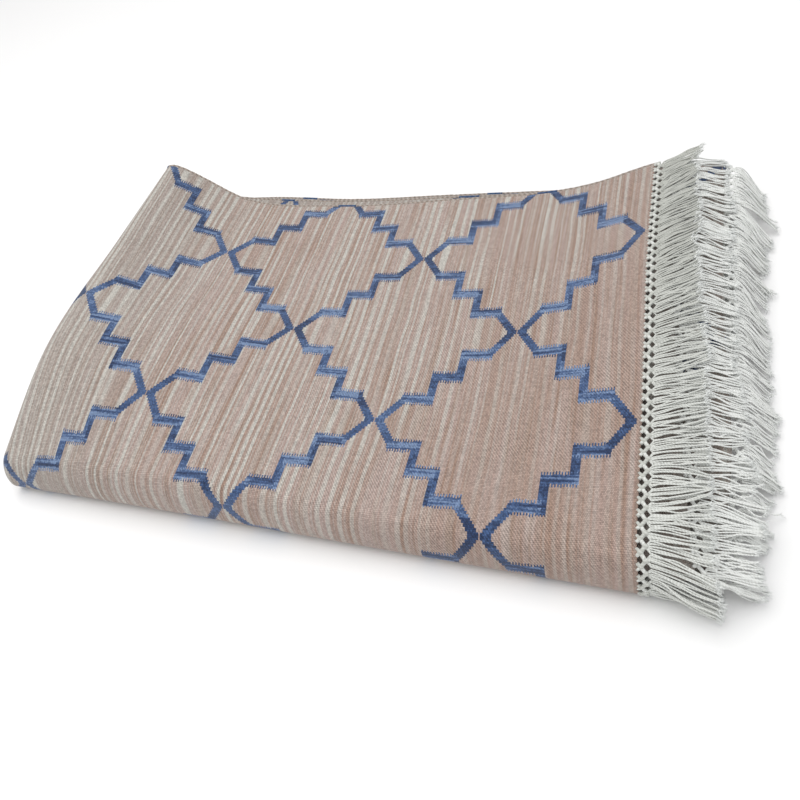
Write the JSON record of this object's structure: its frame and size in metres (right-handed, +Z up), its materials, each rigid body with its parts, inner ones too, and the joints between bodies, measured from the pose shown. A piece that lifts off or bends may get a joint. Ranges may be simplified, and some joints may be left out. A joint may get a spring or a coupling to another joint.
{
  "type": "kilim rug",
  "caption": "Flat-woven kilim rug with corded selvages and knotted cotton fringes, folded over its length and its width into a loose, uneven pile.",
  "frame": {"origin": "on the floor under the middle of the folded rug's bounding box", "axes": "+X along the warps from the left fold to the knotted ends, +Y from the near fold to the open selvages, +Z up"},
  "size_m": [0.992, 0.679, 0.1241],
  "materials": {
    "woven_wool": "flat slit-tapestry weave of hand-spun wool in beige-pink, cream-grey and blue",
    "fringe_cotton": "off-white cotton warp yarns, knotted in two rows and hanging loose"
  },
  "bodies": {
    "root": {"kilim_cloth": "woven_wool", "fringe_first_end": "fringe_cotton", "fringe_second_end": "fringe_cotton"}
  },
  "joints": []
}
